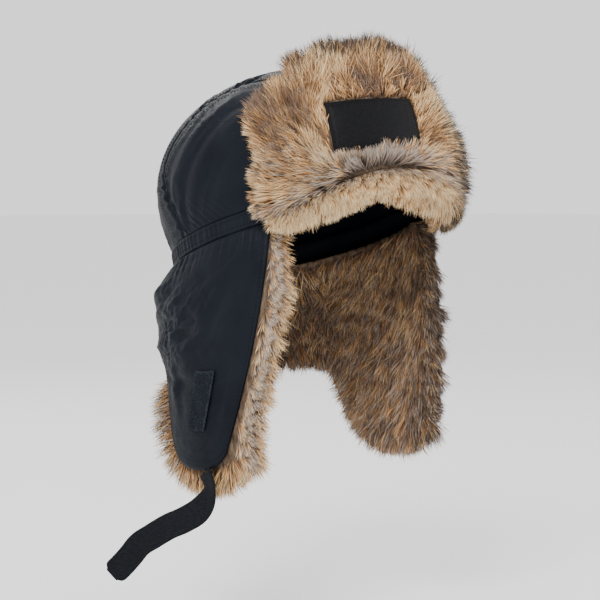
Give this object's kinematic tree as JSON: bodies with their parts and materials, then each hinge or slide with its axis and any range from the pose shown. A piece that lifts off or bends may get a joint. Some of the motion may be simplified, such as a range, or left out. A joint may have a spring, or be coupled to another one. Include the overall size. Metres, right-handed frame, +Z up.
{
  "type": "trapper hat",
  "caption": "Winter trapper hat with a puckered nylon crown, turned-up fur front flap, fur-lined ear and neck flaps, a bare label and a loose chin strap",
  "frame": {"origin": "middle of the opening for the head, in the plane of the band's lower seam, where the hat sits on a head", "axes": "+Z up as worn, the wearer looks along -Y and the wearer's right side is -X; the hat leans back by 17 degrees"},
  "size_m": [0.2508, 0.2577, 0.4209],
  "materials": {
    "nylon": "thin black nylon taffeta with a soft sheen, lightly padded and wrinkled",
    "fur": "deep faux fur pile, tan with dark brown and grey-brown locks",
    "label_satin": "black woven satin label, bare",
    "hook_and_loop": "black hook-and-loop tape, matt and slightly fuzzy"
  },
  "bodies": {
    "root": {"crown_center_strip": "nylon", "crown_side_right": "nylon", "crown_side_left": "nylon", "gathered_band": "nylon", "ear_neck_flap": "nylon", "flap_fur": "fur", "front_flap": "nylon", "front_flap_fur": "fur", "forehead_fur": "fur", "label": "label_satin", "loop_tape_right": "hook_and_loop", "loop_tape_left": "hook_and_loop", "chin_strap": "hook_and_loop"}
  },
  "joints": []
}
